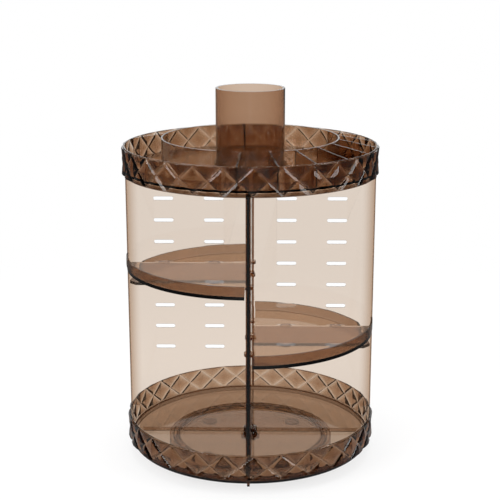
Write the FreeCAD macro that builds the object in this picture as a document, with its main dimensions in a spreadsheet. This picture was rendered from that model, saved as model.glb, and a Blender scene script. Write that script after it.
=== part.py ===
"""Rotating makeup organizer: a diamond-rimmed carousel on a ball-bearing turntable.

The frame is in millimetres, +Z up, with the origin on the table under the axis of rotation.  -Y is the front.
A slotted clear panel stands across the middle and a slotted divider crosses it, so that the column has four
quarter bays.  A quarter tray hangs in each bay by four flat tongues, two through the panel and two through the
divider, and is drawn out along the diagonal of its bay.
"""
import FreeCAD, Part
import math
import os
import Sketcher

Vector = FreeCAD.Vector

# Driving dimensions: alias, value, what it sets.
DIMENSIONS = [
    ("foot_radius", 7.0, "radius of a rubber foot"),
    ("foot_height", 2.2, "height of a rubber foot"),
    ("foot_recess", 1.0, "depth to which a foot sits in the base"),
    ("foot_fit", 0.15, "play around a foot in its recess"),
    ("foot_circle", 58.0, "distance of the feet from the axis"),
    ("foot_count", 4, "number of rubber feet"),
    ("base_radius", 77.5, "outer radius of the turntable base"),
    ("base_floor", 2.4, "thickness of the base floor"),
    ("base_wall", 1.6, "thickness of the base skirt"),
    ("base_gap", 0.6, "gap between the base and the round tray above it"),
    ("race_circle", 71.0, "radius of the ball circle"),
    ("race_width", 7.0, "width of both races"),
    ("lower_race_height", 1.55, "height of the lower race above the base floor"),
    ("upper_race_height", 2.65, "height of the upper race"),
    ("ball_radius", 2.0, "radius of a bearing ball"),
    ("ball_fit", 0.05, "play between a ball and its grooves"),
    ("ball_count", 8, "number of balls"),
    ("cage_thickness", 0.6, "thickness of the ball cage"),
    ("cage_width", 6.2, "width of the ball cage"),
    ("cage_gap", 0.3, "gap above and below the ball cage"),
    ("cage_fit", 0.15, "play around a ball in the cage"),
    ("hub_radius", 9.0, "radius of the base hub"),
    ("pivot_radius", 3.0, "radius of the pivot screw"),
    ("pivot_fit", 0.05, "running fit of the pivot screw in the hub"),
    ("pivot_head_radius", 5.5, "radius of the screw head"),
    ("pivot_head_height", 1.9, "height of the screw head"),
    ("pivot_recess_radius", 7.4, "radius of the recess for the screw head"),
    ("pivot_recess_depth", 3.0, "depth of the recess for the screw head"),
    ("pivot_thread", 5.8, "length of screw above the round tray's underside"),
    ("washer_radius", 6.4, "radius of the washer"),
    ("washer_thickness", 0.6, "thickness of the washer"),
    ("washer_gap", 0.3, "play between the washer and the base"),
    ("facet_count", 28, "diamonds around a rim"),
    ("facet_rise", 1.4, "height of a diamond's point over the rim"),
    ("facet_phase", 2.0, "angle from the front to the nearest diamond, degrees"),
    ("rim_radius", 115.0, "outer radius of a rim in its valleys"),
    ("rim_wall", 1.6, "thickness of a rim in its valleys"),
    ("lip_height", 0.9, "height of the plain lip over the diamonds"),
    ("lip_step", 0.2, "inset of the plain lip"),
    ("round_floor", 2.0, "thickness of both round trays' floors"),
    ("ring_radius", 112.0, "outer radius of the bottom tray's plain foot ring"),
    ("ring_height", 4.6, "height of the bottom tray's foot ring"),
    ("bottom_height", 27.35, "height of the bottom tray"),
    ("bay_height", 228.1, "height between the two rims"),
    ("top_height", 26.25, "height of the top tray"),
    ("skirt_height", 1.15, "height of the plain skirt under the top tray's diamonds"),
    ("skirt_step", 1.0, "inset of that skirt"),
    ("top_floor_lift", 4.05, "height of the top tray's floor in its rim"),
    ("channel_wall", 1.4, "thickness of the channel ribs"),
    ("channel_height", 3.35, "height of the channel ribs"),
    ("channel_reach", 103.0, "distance of the channels' ends from the axis"),
    ("boss_radius", 6.5, "radius of the screw boss"),
    ("boss_height", 5.0, "height of the screw boss over the floor"),
    ("joint_play", 0.15, "play on each side of a plate in its channel or joint"),
    ("plate_play", 0.3, "play over and around the plates"),
    ("slot_length", 18.3, "length of a tray slot"),
    ("slot_height", 3.4, "height of a tray slot"),
    ("column_near", 33.5, "distance of the inner slots from the axis"),
    ("column_far", 79.8, "distance of the outer slots from the axis"),
    ("row_count", 8, "rows of slots"),
    ("row_pitch", 20.42, "spacing of the rows"),
    ("row_lift", 60.61, "height of the lowest row over the bottom rim"),
    ("panel_thickness", 1.0, "thickness of the clear panel"),
    ("panel_flat", 106.4, "half width of the panel's flat part"),
    ("curl_radius", 8.9, "outer radius of the panel's rolled edge"),
    ("divider_thickness", 2.4, "thickness of the divider"),
    ("divider_reach", 112.6, "distance of the divider's edges from the axis"),
    ("edge_width", 4.4, "width of the divider's thick edges"),
    ("edge_depth", 4.0, "depth of the divider's thick edges"),
    ("tab_width", 5.0, "width of the divider's floor tabs"),
    ("tab_drop", 3.7, "length of the tabs below the bottom tray"),
    ("tray_radius", 114.4, "outer radius of a quarter tray"),
    ("tray_wall", 1.8, "thickness of a quarter tray's rim"),
    ("tray_step", 0.6, "inset of a quarter tray's lower band"),
    ("tray_floor_top", 1.1, "height of that floor over the middle of its slots"),
    ("tray_rim_top", 10.0, "height of the rim over the middle of its slots"),
    ("tray_rim_drop", 1.8, "depth of the rim below the middle of its slots"),
    ("tray_band_top", 2.0, "top of the lower band over the middle of the slots"),
    ("panel_gap", 1.0, "gap between a quarter tray and the panel"),
    ("divider_gap", 2.0, "gap between a quarter tray and the divider"),
    ("curl_gap", 0.35, "gap between a rear tray and the rolled edge"),
    ("rim_end", 38.0, "distance from the panel at which a rear tray's rim ends"),
    ("tongue_width", 10.8, "width of a tongue"),
    ("tongue_thickness", 2.4, "thickness of a tongue"),
    ("tongue_reach", 3.2, "reach of a tongue past the plate it hangs in"),
    ("tongue_root", 3.0, "overlap of a tongue with the floor it grows from"),
    ("bead_thickness", 3.0, "thickness of the bead at a tongue's tip"),
    ("bead_gap", 0.5, "gap between the bead and the plate"),
    ("insert_radius", 80.6, "outer radius of the organizer insert's ring"),
    ("insert_wall", 1.6, "thickness of the insert's walls"),
    ("insert_rise", 6.3, "height of the insert's ring over the rim"),
    ("insert_gap", 0.3, "gap between the insert and the rim"),
    ("cell_wall_count", 8, "number of walls between the lipstick cells"),
    ("cell_first", -4.8, "angle of the first cell wall from the front, degrees"),
    ("cell_pitch", 17.2, "angle between the cell walls, degrees"),
    ("rear_wall_angle", 185.3, "angle of the rear wall, degrees"),
    ("left_wall_angle", 255.0, "angle of the left wall, degrees"),
    ("cup_radius", 31.2, "outer radius of the brush cup"),
    ("cup_wall", 2.2, "thickness of the brush cup"),
    ("cup_floor", 2.0, "thickness of the brush cup's floor"),
    ("cup_height", 70.7, "height of the brush cup"),
    ("collar_gap", 0.4, "gap between the brush cup and its collar"),
    ("collar_wall", 1.4, "thickness of the collar"),
    ("collar_height", 5.0, "height of the collar"),
]

# Heights and widths that follow from the driving dimensions.
BASE_BOTTOM = "(dims.foot_height - dims.foot_recess)"
BASE_TOP = f"({BASE_BOTTOM} + dims.base_floor)"
CAGE_BOTTOM = f"({BASE_TOP} + dims.lower_race_height + dims.cage_gap)"
BALL_LEVEL = f"({CAGE_BOTTOM} + dims.cage_thickness / 2)"
UPPER_RACE_BOTTOM = f"({CAGE_BOTTOM} + dims.cage_thickness + dims.cage_gap)"
UNDERSIDE = f"({UPPER_RACE_BOTTOM} + dims.upper_race_height)"
FLOOR_TOP = f"({UNDERSIDE} + dims.round_floor)"
BOTTOM_RIM_TOP = f"({UNDERSIDE} + dims.bottom_height)"
TOP_SKIRT_BOTTOM = f"({BOTTOM_RIM_TOP} + dims.bay_height)"
TOP_FLOOR_BOTTOM = f"({TOP_SKIRT_BOTTOM} + dims.top_floor_lift)"
TOP_FLOOR_TOP = f"({TOP_FLOOR_BOTTOM} + dims.round_floor)"
TOP_RIM_TOP = f"({TOP_SKIRT_BOTTOM} + dims.top_height)"
RIM_INNER = "(dims.rim_radius - dims.rim_wall)"
STEP_TOP = f"({UNDERSIDE} + dims.ring_height + dims.rim_wall)"
RING_INNER = "(dims.ring_radius - dims.rim_wall)"
FOOT_REACH = f"({RING_INNER} - dims.plate_play)"
PLATE_TOP = TOP_FLOOR_BOTTOM
PANEL_HALF = "(dims.panel_thickness / 2)"
WEB_HALF = "(dims.divider_thickness / 2)"
LAP_LEVEL = f"(({FLOOR_TOP} + {PLATE_TOP}) / 2)"
PIVOT_CEILING = f"({BASE_BOTTOM} + dims.pivot_recess_depth)"
WASHER_BOTTOM = f"({PIVOT_CEILING} - dims.washer_gap - dims.washer_thickness)"
LOWEST_ROW = f"({BOTTOM_RIM_TOP} + dims.row_lift)"

doc = FreeCAD.newDocument("makeup_organizer")
dims = doc.addObject("Spreadsheet::Sheet", "dims")
for line, (alias, amount, note) in enumerate(DIMENSIONS, start=1):
    dims.set(f"A{line}", note)
    dims.set(f"B{line}", str(amount))
    dims.setAlias(f"B{line}", alias)
doc.recompute()


def value(alias):
    """Return the driving dimension of that name."""
    return float(dims.get(alias))


def count(alias):
    """Return the driving dimension of that name as a whole number."""
    return round(value(alias))


def bearing(angle):
    """Return the angle from +X, in degrees, of a direction given by its angle from the front."""
    return angle - 90


# ---- helpers: every size and place is an expression over the sheet ----

def bind(target, **expressions):
    """Bind properties of an object to expressions; x, y, z and angle set its placement."""
    places = {"x": "Placement.Base.x", "y": "Placement.Base.y", "z": "Placement.Base.z",
              "angle": "Placement.Rotation.Angle"}
    for name, expression in expressions.items():
        target.setExpression(places.get(name, name), expression)
    return target


def cylinder(name, radius, height, z, x="0", y="0"):
    """Add an upright cylinder with its foot at x, y, z."""
    return bind(doc.addObject("Part::Cylinder", name), Radius=radius, Height=height, x=x, y=y, z=z)


def box(name, x, y, z, length, width, height):
    """Add a box with its lowest corner at x, y, z."""
    return bind(doc.addObject("Part::Box", name), x=x, y=y, z=z, Length=length, Width=width, Height=height)


def centred_box(name, z, half_length, half_width, height):
    """Add a box that is centred on the axis in plan."""
    return box(name, f"-{half_length}", f"-{half_width}", z, f"2 * {half_length}", f"2 * {half_width}", height)


def cone(name, foot_radius, top_radius, height, z):
    """Add an upright cone frustum about the axis."""
    return bind(doc.addObject("Part::Cone", name), Radius1=foot_radius, Radius2=top_radius, Height=height, z=z)


def fuse(name, *parts):
    """Join several objects."""
    joined = doc.addObject("Part::MultiFuse", name)
    joined.Shapes = list(parts)
    joined.Refine = True
    return joined


def cut(name, body, *tools):
    """Take one or several objects away from a body."""
    tool = tools[0] if len(tools) == 1 else fuse(f"{name}_tools", *tools)
    result = doc.addObject("Part::Cut", name)
    result.Base = body
    result.Tool = tool
    result.Refine = True
    return result


def common(name, first, second):
    """Keep what two objects share."""
    shared = doc.addObject("Part::Common", name)
    shared.Base = first
    shared.Tool = second
    shared.Refine = True
    return shared


def ring(name, outer, inner, height, z):
    """Add a plain ring about the axis."""
    return cut(name, cylinder(f"{name}_outside", outer, height, z), cylinder(f"{name}_inside", inner, height, z))


def groove(name, upper):
    """Return the V-shaped ring, at 45 degrees, that a race's groove is cut with; its walls just clear the balls."""
    depth = "((dims.ball_radius + dims.ball_fit) * sqrt(2))"
    spread, gather = f"(dims.race_circle + {depth})", f"(dims.race_circle - {depth})"
    if upper:
        radii = (spread, "dims.race_circle"), (gather, "dims.race_circle")
        z = BALL_LEVEL
    else:
        radii = ("dims.race_circle", spread), ("dims.race_circle", gather)
        z = f"{BALL_LEVEL} - {depth}"
    return cut(name, cone(f"{name}_outside", *radii[0], depth, z), cone(f"{name}_inside", *radii[1], depth, z))


def origin_plane(body, role):
    """Return one of a body's own origin planes."""
    return next(feature for feature in body.Origin.OriginFeatures if feature.Role == role)


def new_sketch(body, name, role):
    """Start a sketch on one of the body's origin planes."""
    sketch = body.newObject("Sketcher::SketchObject", name)
    sketch.AttachmentSupport = [(origin_plane(body, role), "")]
    sketch.MapMode = "FlatFace"
    return sketch


def dimension(sketch, name, constraint, expression):
    """Add a driving constraint and bind it."""
    index = sketch.addConstraint(constraint)
    sketch.renameConstraint(index, name)
    sketch.setExpression(f"Constraints.{name}", expression)


def draw_rectangle(sketch, left, right, low, high):
    """Draw a rectangle between four bound sides."""
    corners = [Vector(-1, 1), Vector(1, 1), Vector(1, 2), Vector(-1, 2)]
    for start, end in zip(corners, corners[1:] + corners[:1]):
        sketch.addGeometry(Part.LineSegment(start, end), False)
    for side in range(4):
        sketch.addConstraint(Sketcher.Constraint("Coincident", side, 2, (side + 1) % 4, 1))
        sketch.addConstraint(Sketcher.Constraint("Vertical" if side % 2 else "Horizontal", side))
    dimension(sketch, "left", Sketcher.Constraint("DistanceX", -1, 1, 0, 1, -1.0), left)
    dimension(sketch, "right", Sketcher.Constraint("DistanceX", -1, 1, 1, 1, 1.0), right)
    dimension(sketch, "low", Sketcher.Constraint("DistanceY", -1, 1, 0, 1, 1.0), low)
    dimension(sketch, "high", Sketcher.Constraint("DistanceY", -1, 1, 2, 1, 2.0), high)


def pad_rectangle(body, name, role, left, right, low, high, thickness):
    """Add a rectangular plate, centred on its sketch plane."""
    sketch = new_sketch(body, f"{name}_sketch", role)
    draw_rectangle(sketch, left, right, low, high)
    pad = body.newObject("PartDesign::Pad", name)
    pad.Profile = sketch
    pad.SideType = "Symmetric"
    pad.setExpression("Length", thickness)


def pocket_through(body, name, sketch):
    """Cut a sketch right through the plate, both ways from its middle plane."""
    pocket = body.newObject("PartDesign::Pocket", name)
    pocket.Profile = sketch
    pocket.SideType = "Symmetric"
    pocket.Type = "ThroughAll"
    return pocket


def pocket_rectangle(body, name, role, left, right, low, high):
    """Cut a rectangle through the plate."""
    sketch = new_sketch(body, f"{name}_sketch", role)
    draw_rectangle(sketch, left, right, low, high)
    pocket_through(body, name, sketch)


def draw_slot(sketch, name, side, column):
    """Draw one round-ended slot of the lowest row, its middle at the bound column on that side."""
    radius = value("slot_height") / 2
    half = value("slot_length") / 2 - radius
    middle = side * value(column)
    level = value("bottom_height") + value("row_lift")
    left_circle, right_circle = (Part.Circle(Vector(middle + end, level), Vector(0, 0, 1), radius)
                                 for end in (-half, half))
    left_end = Part.ArcOfCircle(left_circle, math.pi / 2, 3 * math.pi / 2)
    right_end = Part.ArcOfCircle(right_circle, -math.pi / 2, math.pi / 2)
    left = sketch.addGeometry(left_end, False)
    right = sketch.addGeometry(right_end, False)
    low = sketch.addGeometry(Part.LineSegment(left_end.EndPoint, right_end.StartPoint), False)
    high = sketch.addGeometry(Part.LineSegment(right_end.EndPoint, left_end.StartPoint), False)
    for first, second in ((left, low), (low, right), (right, high), (high, left)):
        sketch.addConstraint(Sketcher.Constraint("Tangent", first, 2, second, 1))
    sketch.addConstraint(Sketcher.Constraint("Horizontal", low))
    sketch.addConstraint(Sketcher.Constraint("Equal", left, right))
    straight = "(dims.slot_length - dims.slot_height)"
    dimension(sketch, f"end_{name}", Sketcher.Constraint("Radius", left, radius), "dims.slot_height / 2")
    dimension(sketch, f"length_{name}", Sketcher.Constraint("DistanceX", left, 3, right, 3, 2 * half), straight)
    dimension(sketch, f"place_{name}", Sketcher.Constraint("DistanceX", -1, 1, left, 3, middle - half),
              f"{side} * dims.{column} - {straight} / 2")
    dimension(sketch, f"level_{name}", Sketcher.Constraint("DistanceY", -1, 1, left, 3, level), LOWEST_ROW)


def cut_slot_rows(body, role):
    """Cut four slots of the lowest row and repeat them up the plate."""
    sketch = new_sketch(body, f"{body.Name}_slots_sketch", role)
    for side, side_name in ((-1, "minus"), (1, "plus")):
        for column in ("column_near", "column_far"):
            draw_slot(sketch, f"{column}_{side_name}", side, column)
    slots = pocket_through(body, f"{body.Name}_slots", sketch)
    rows = body.newObject("PartDesign::LinearPattern", f"{body.Name}_rows")
    rows.Originals = [slots]
    rows.Direction = (sketch, ["V_Axis"])
    rows.Mode = "Spacing"
    rows.setExpression("Offset", "dims.row_pitch")
    rows.setExpression("Occurrences", "dims.row_count")
    body.Tip = rows


# ---- turntable ----

def polar_place(angle, distance):
    """Return x and y expressions for a point at that angle in degrees and bound distance."""
    return (f"{distance} * cos({angle} deg)", f"{distance} * sin({angle} deg)")


def foot_places():
    """Return the x and y expressions of the feet."""
    feet = count("foot_count")
    return [polar_place(360 * (number + 0.5) / feet, "dims.foot_circle") for number in range(feet)]


def build_base_plate():
    """The base: a skirted disc with foot recesses, the lower race and a bored hub."""
    disc = cylinder("base_disc", "dims.base_radius", "dims.base_floor", BASE_BOTTOM)
    skirt_height = f"({UNDERSIDE} - dims.base_gap - {BASE_TOP})"
    skirt = ring("base_skirt", "dims.base_radius", "(dims.base_radius - dims.base_wall)", skirt_height, BASE_TOP)
    race = ring("lower_race", "(dims.race_circle + dims.race_width / 2)",
                "(dims.race_circle - dims.race_width / 2)", "dims.lower_race_height", BASE_TOP)
    hub = cylinder("base_hub", "dims.hub_radius", skirt_height, BASE_TOP)
    lower_groove = groove("lower_groove", False)
    bore = cylinder("hub_bore", "dims.pivot_radius + dims.pivot_fit", UNDERSIDE, "0")
    recess = cylinder("head_recess", "dims.pivot_recess_radius", "dims.pivot_recess_depth", BASE_BOTTOM)
    solid = fuse("base_solid", disc, skirt, race, hub)
    tools = [lower_groove, bore, recess]
    for number, (x, y) in enumerate(foot_places(), start=1):
        tools.append(cylinder(f"foot_recess_{number}", "dims.foot_radius + dims.foot_fit", "dims.foot_recess",
                              BASE_BOTTOM, x, y))
    return cut("base_plate", solid, *tools)


def build_feet():
    """Four rubber feet in the recesses of the base."""
    return [cylinder(f"rubber_foot_{number}", "dims.foot_radius", "dims.foot_height", "0", x, y)
            for number, (x, y) in enumerate(foot_places(), start=1)]


def ball_places():
    """Return the x and y expressions of the ball centres."""
    balls = count("ball_count")
    return [polar_place(360 * number / balls, "dims.race_circle") for number in range(balls)]


def build_balls():
    """The steel balls, separate solids in one node."""
    balls = []
    for number, (x, y) in enumerate(ball_places(), start=1):
        ball = doc.addObject("Part::Sphere", f"ball_{number}")
        balls.append(bind(ball, Radius="dims.ball_radius", x=x, y=y, z=BALL_LEVEL))
    group = doc.addObject("Part::Compound", "bearing_balls")
    group.Links = balls
    return group


def build_ball_cage():
    """The thin ring that spaces the balls."""
    outer = "(dims.race_circle + dims.cage_width / 2)"
    inner = "(dims.race_circle - dims.cage_width / 2)"
    plate = ring("cage_plate", outer, inner, "dims.cage_thickness", CAGE_BOTTOM)
    holes = []
    for number, (x, y) in enumerate(ball_places(), start=1):
        holes.append(cylinder(f"cage_hole_{number}", "dims.ball_radius + dims.cage_fit", "dims.cage_thickness",
                              CAGE_BOTTOM, x, y))
    return cut("ball_cage", plate, *holes)


def build_upper_race():
    """The grooved ring under the bottom tray that runs on the balls."""
    blank = ring("upper_race_blank", "(dims.race_circle + dims.race_width / 2)",
                 "(dims.race_circle - dims.race_width / 2)", "dims.upper_race_height", UPPER_RACE_BOTTOM)
    return cut("upper_race", blank, groove("upper_groove", True))


def build_pivot():
    """The pivot screw, its head below the washer and its shank in the bottom tray's boss."""
    shank = cylinder("pivot_shank", "dims.pivot_radius", f"{UNDERSIDE} + dims.pivot_thread - {WASHER_BOTTOM}",
                     WASHER_BOTTOM)
    head = cylinder("pivot_head", "dims.pivot_head_radius", "dims.pivot_head_height",
                    f"{WASHER_BOTTOM} - dims.pivot_head_height")
    drive = cylinder("pivot_drive", "dims.pivot_radius / 2", "dims.pivot_head_height / 2",
                     f"{WASHER_BOTTOM} - dims.pivot_head_height")
    screw = cut("pivot_screw", fuse("pivot_blank", shank, head), drive)
    washer = ring("pivot_washer", "dims.washer_radius", "(dims.pivot_radius + dims.pivot_fit)",
                  "dims.washer_thickness", WASHER_BOTTOM)
    return [screw, washer]


# ---- round trays ----

def facet_shell(height):
    """Return the solid band of diamonds, its foot at z = 0.

    One diamond stands between two crossings: its corners lie on the valley radius, and its point, at half height,
    lies facet_rise further out.  Half diamonds, cut off at the edges of the band, fill the triangles over and
    under each crossing.
    """
    diamonds = count("facet_count")
    valley = value("rim_radius")
    peak = valley + value("facet_rise")
    pitch = 2 * math.pi / diamonds
    first = math.radians(bearing(value("facet_phase")))

    def point(radius, half_steps, level):
        angle = first + half_steps * pitch / 2
        return Vector(radius * math.cos(angle), radius * math.sin(angle), level)

    faces = []
    for middle in range(0, 2 * diamonds, 2):
        apex = point(peak, middle, height / 2)
        left = point(valley, middle - 1, height / 2)
        right = point(valley, middle + 1, height / 2)
        for edge in (0.0, height):
            corner = point(valley, middle, edge)
            next_corner = point(valley, middle + 2, edge)
            half_apex = point(peak, middle + 1, edge)
            faces += [(apex, left, corner), (apex, corner, right)]
            faces += [(right, corner, half_apex), (right, half_apex, next_corner)]
    for edge in (0.0, height):
        faces.append([point(peak if step % 2 else valley, step, edge) for step in range(2 * diamonds)])
    shell = Part.makeShell([Part.Face(Part.makePolygon(list(face) + [face[0]])) for face in faces])
    solid = Part.makeSolid(shell)
    if solid.Volume < 0:
        solid.reverse()
    return solid


def facet_band(name, height, z):
    """Add a band of diamonds of that bound height and level."""
    band = doc.addObject("Part::Feature", name)
    band.Shape = facet_shell(height)
    return bind(band, z=z)


def channel(name, z, height, web_reach):
    """Return cross-shaped channel ribs that hold the panel and the divider, with the plates' slits taken out."""
    ribs = []
    slits = []
    for plate, half in (("panel", PANEL_HALF), ("web", WEB_HALF)):
        slit = f"({half} + dims.joint_play)"
        rib = f"({slit} + dims.channel_wall)"
        long_rib = web_reach if plate == "web" else "dims.channel_reach"
        lengths = (long_rib, rib) if plate == "panel" else (rib, long_rib)
        slit_lengths = ("dims.rim_radius", slit) if plate == "panel" else (slit, "dims.rim_radius")
        ribs.append(centred_box(f"{name}_{plate}_rib", z, lengths[0], lengths[1], height))
        slits.append(centred_box(f"{name}_{plate}_slit", z, slit_lengths[0], slit_lengths[1], height))
    return cut(f"{name}_ribs", fuse(f"{name}_cross", *ribs), *slits)


def build_bottom_tray():
    """The bottom tray: foot ring, diamond rim, floor with channels, screw boss and tab windows."""
    band_height = value("bottom_height") - value("ring_height") - value("lip_height")
    facets = facet_band("bottom_facets", band_height, f"{UNDERSIDE} + dims.ring_height")
    lip = cylinder("bottom_lip", "dims.rim_radius - dims.lip_step", "2 * dims.lip_height",
                   f"{BOTTOM_RIM_TOP} - 2 * dims.lip_height")
    foot = cylinder("bottom_foot_ring", "dims.ring_radius", "dims.ring_height + dims.rim_wall", UNDERSIDE)
    outside = fuse("bottom_outside", facets, lip, foot)
    well = cylinder("bottom_well", RIM_INNER, "dims.bottom_height", STEP_TOP)
    foot_well = cylinder("bottom_foot_well", RING_INNER, "dims.bottom_height", FLOOR_TOP)
    shell = cut("bottom_shell", outside, well, foot_well)
    ribs = channel("bottom", FLOOR_TOP, "dims.channel_height", "dims.channel_reach")
    boss = cylinder("screw_boss", "dims.boss_radius", "dims.boss_height + dims.round_floor", UNDERSIDE)
    tray = fuse("bottom_tray_solid", shell, ribs, boss)
    hole = cylinder("boss_hole", "dims.pivot_radius + dims.pivot_fit", "dims.pivot_thread + dims.plate_play",
                    UNDERSIDE)
    tools = [hole]
    half = f"({WEB_HALF} + dims.joint_play)"
    width = "(dims.tab_width + 2 * dims.joint_play)"
    for name, y in (("front", f"-({FOOT_REACH} + dims.joint_play)"),
                    ("rear", f"{FOOT_REACH} + dims.joint_play - {width}")):
        tools.append(box(f"{name}_window", f"-{half}", y, UNDERSIDE, f"2 * {half}", width,
                         "dims.round_floor + dims.channel_height"))
    return cut("bottom_tray", tray, *tools)


def build_top_tray():
    """The top tray: diamond rim over a short skirt, raised floor, channels below and the cup's collar above."""
    band_height = value("top_height") - value("skirt_height") - value("lip_height")
    facets = facet_band("top_facets", band_height, f"{TOP_SKIRT_BOTTOM} + dims.skirt_height")
    lip = cylinder("top_lip", "dims.rim_radius - dims.lip_step", "2 * dims.lip_height",
                   f"{TOP_RIM_TOP} - 2 * dims.lip_height")
    skirt = cylinder("top_skirt", "dims.rim_radius - dims.skirt_step", "2 * dims.skirt_height", TOP_SKIRT_BOTTOM)
    outside = fuse("top_outside", facets, lip, skirt)
    well = cylinder("top_well", RIM_INNER, "dims.top_height", TOP_FLOOR_TOP)
    underside = cylinder("top_underside", RIM_INNER, "dims.top_floor_lift", TOP_SKIRT_BOTTOM)
    shell = cut("top_shell", outside, well, underside)
    ribs = channel("top", f"{TOP_FLOOR_BOTTOM} - dims.channel_height", "dims.channel_height",
                   "dims.channel_reach")
    collar_inner = "(dims.cup_radius + dims.collar_gap)"
    collar = ring("cup_collar", f"({collar_inner} + dims.collar_wall)", collar_inner, "dims.collar_height",
                  TOP_FLOOR_TOP)
    return fuse("top_tray", shell, ribs, collar)


# ---- column ----

def build_panel():
    """The clear slotted panel, with both upright edges rolled to the rear between the rims."""
    body = doc.addObject("PartDesign::Body", "slotted_panel")
    pad_rectangle(body, "panel_plate", "XZ_Plane", "-dims.panel_flat", "dims.panel_flat", FLOOR_TOP, PLATE_TOP,
                  "dims.panel_thickness")
    sketch = new_sketch(body, "curl_sketch", "XY_Plane")
    outer_radius = value("curl_radius")
    inner_radius = outer_radius - value("panel_thickness")
    middle = Vector(value("panel_flat"), inner_radius)
    outer, inner = (Part.ArcOfCircle(Part.Circle(middle, Vector(0, 0, 1), radius), -math.pi / 2, 0)
                    for radius in (outer_radius, inner_radius))
    sketch.addGeometry(outer, False)
    sketch.addGeometry(inner, False)
    sketch.addGeometry(Part.LineSegment(inner.StartPoint, outer.StartPoint), False)
    sketch.addGeometry(Part.LineSegment(outer.EndPoint, inner.EndPoint), False)
    for first, first_end, second, second_end in ((0, 3, 1, 3), (2, 1, 1, 1), (2, 2, 0, 1), (3, 1, 0, 2),
                                                 (3, 2, 1, 2)):
        sketch.addConstraint(Sketcher.Constraint("Coincident", first, first_end, second, second_end))
    sketch.addConstraint(Sketcher.Constraint("Vertical", 2))
    sketch.addConstraint(Sketcher.Constraint("Horizontal", 3))
    sketch.addConstraint(Sketcher.Constraint("Vertical", 0, 3, 0, 1))
    sketch.addConstraint(Sketcher.Constraint("Horizontal", 0, 3, 0, 2))
    dimension(sketch, "outer", Sketcher.Constraint("Radius", 0, outer_radius), "dims.curl_radius")
    dimension(sketch, "inner", Sketcher.Constraint("Radius", 1, inner_radius),
              "dims.curl_radius - dims.panel_thickness")
    dimension(sketch, "middle_x", Sketcher.Constraint("DistanceX", -1, 1, 0, 3, middle.x), "dims.panel_flat")
    dimension(sketch, "middle_y", Sketcher.Constraint("DistanceY", -1, 1, 0, 3, middle.y),
              f"dims.curl_radius - {PANEL_HALF}")
    sketch.setExpression("AttachmentOffset.Base.z", f"{BOTTOM_RIM_TOP} + dims.plate_play")
    curl = body.newObject("PartDesign::Pad", "curl")
    curl.Profile = sketch
    curl.setExpression("Length", "dims.bay_height - 2 * dims.plate_play")
    mirror = body.newObject("PartDesign::Mirrored", "left_curl")
    mirror.Originals = [curl]
    mirror.MirrorPlane = (origin_plane(body, "YZ_Plane"), [""])
    body.Tip = mirror
    boss = "(dims.boss_radius + dims.plate_play)"
    lap = f"({WEB_HALF} + dims.joint_play)"
    pocket_rectangle(body, "panel_boss_notch", "XZ_Plane", f"-{boss}", boss, f"{FLOOR_TOP} - 1",
                     f"{FLOOR_TOP} + dims.boss_height + dims.plate_play")
    pocket_rectangle(body, "panel_lap", "XZ_Plane", f"-{lap}", lap, LAP_LEVEL, f"{PLATE_TOP} + 1")
    cut_slot_rows(body, "XZ_Plane")
    return body


def build_divider():
    """The tinted divider: slotted web, thick front and rear edges, and a tab at each end of its foot."""
    body = doc.addObject("PartDesign::Body", "divider_plate")
    foot_top = f"({STEP_TOP} + dims.plate_play)"
    web = "dims.divider_thickness"
    pad_rectangle(body, "web", "YZ_Plane", "-dims.divider_reach", "dims.divider_reach", foot_top, PLATE_TOP, web)
    pad_rectangle(body, "web_foot", "YZ_Plane", f"-{FOOT_REACH}", FOOT_REACH, FLOOR_TOP, foot_top, web)
    for side, near, far in (("front", f"-{FOOT_REACH}", f"-{FOOT_REACH} + dims.tab_width"),
                            ("rear", f"{FOOT_REACH} - dims.tab_width", FOOT_REACH)):
        pad_rectangle(body, f"{side}_tab", "YZ_Plane", near, far, f"{UNDERSIDE} - dims.tab_drop", FLOOR_TOP, web)
    for side, near, far in (("front", "-dims.divider_reach", "-dims.divider_reach + dims.edge_depth"),
                            ("rear", "dims.divider_reach - dims.edge_depth", "dims.divider_reach")):
        pad_rectangle(body, f"{side}_edge", "YZ_Plane", near, far, foot_top, PLATE_TOP, "dims.edge_width")
    boss = "(dims.boss_radius + dims.plate_play)"
    lap = f"({PANEL_HALF} + dims.joint_play)"
    pocket_rectangle(body, "web_boss_notch", "YZ_Plane", f"-{boss}", boss, f"{FLOOR_TOP} - 1",
                     f"{FLOOR_TOP} + dims.boss_height + dims.plate_play")
    pocket_rectangle(body, "web_lap", "YZ_Plane", f"-{lap}", lap, f"{FLOOR_TOP} - 1", LAP_LEVEL)
    cut_slot_rows(body, "YZ_Plane")
    return body


# ---- quarter trays ----

def span(sign, near, far):
    """Return the lower bound of a stretch from near to far on the positive or the negative side."""
    return near if sign > 0 else f"-({far})"


def row_level(row):
    """Return the height of a row's slots, rows counted from the top."""
    return f"({LOWEST_ROW} + (dims.row_count - {row}) * dims.row_pitch)"


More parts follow.
